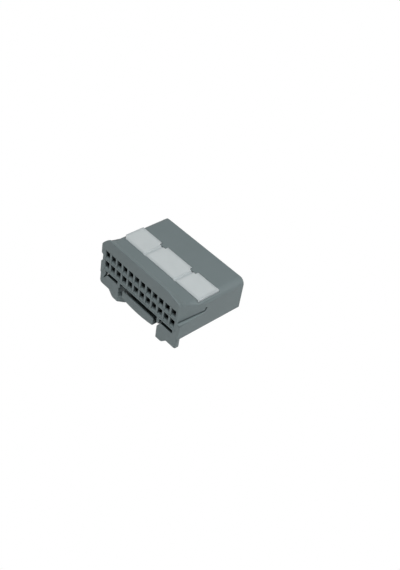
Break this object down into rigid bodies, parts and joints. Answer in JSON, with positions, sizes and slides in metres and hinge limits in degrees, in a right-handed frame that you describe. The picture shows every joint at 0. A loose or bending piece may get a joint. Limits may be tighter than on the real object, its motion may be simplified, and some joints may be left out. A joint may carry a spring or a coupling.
{
  "type": "wire connector housing",
  "caption": "Rectangular wire connector with rows of terminal cavities, a drop-in white retainer across the top and a thumb latch between guards under the wire side.",
  "frame": {"origin": "centre of the mating face, midway between the rows of cavities", "axes": "+Y out of the mating face, +X along the rows, +Z towards the retainer side"},
  "size_m": [0.0332, 0.0231, 0.0184],
  "materials": {
    "housing": "fine satin moulded",
    "retainer": "natural satin moulded",
    "terminal": "tin plated"
  },
  "bodies": {
    "housing": {"housing": "housing", "terminal_upper_1": "terminal", "terminal_upper_2": "terminal", "terminal_upper_3": "terminal", "terminal_upper_4": "terminal", "terminal_upper_5": "terminal", "terminal_upper_6": "terminal", "terminal_upper_7": "terminal", "terminal_upper_8": "terminal", "terminal_upper_9": "terminal", "terminal_upper_10": "terminal", "terminal_upper_11": "terminal", "terminal_upper_12": "terminal", "terminal_lower_1": "terminal", "terminal_lower_2": "terminal", "terminal_lower_3": "terminal", "terminal_lower_4": "terminal", "terminal_lower_5": "terminal", "terminal_lower_6": "terminal", "terminal_lower_7": "terminal", "terminal_lower_8": "terminal", "terminal_lower_9": "terminal", "terminal_lower_10": "terminal", "terminal_lower_11": "terminal", "terminal_lower_12": "terminal"},
    "retainer": {"retainer": "retainer"},
    "latch_lever": {"latch_lever": "housing"}
  },
  "joints": [
    {"name": "retainer_lift", "type": "slide", "parent": "housing", "child": "retainer", "axis": [0, 0, 1], "range_m": [0, 0.001]},
    {"name": "latch_press", "type": "hinge", "parent": "housing", "child": "latch_lever", "pos_m": [0, -0.0024, -0.0048], "axis": [-1, 0, 0], "range_deg": [0, 5], "stiffness_Nm_per_rad": 1}
  ]
}
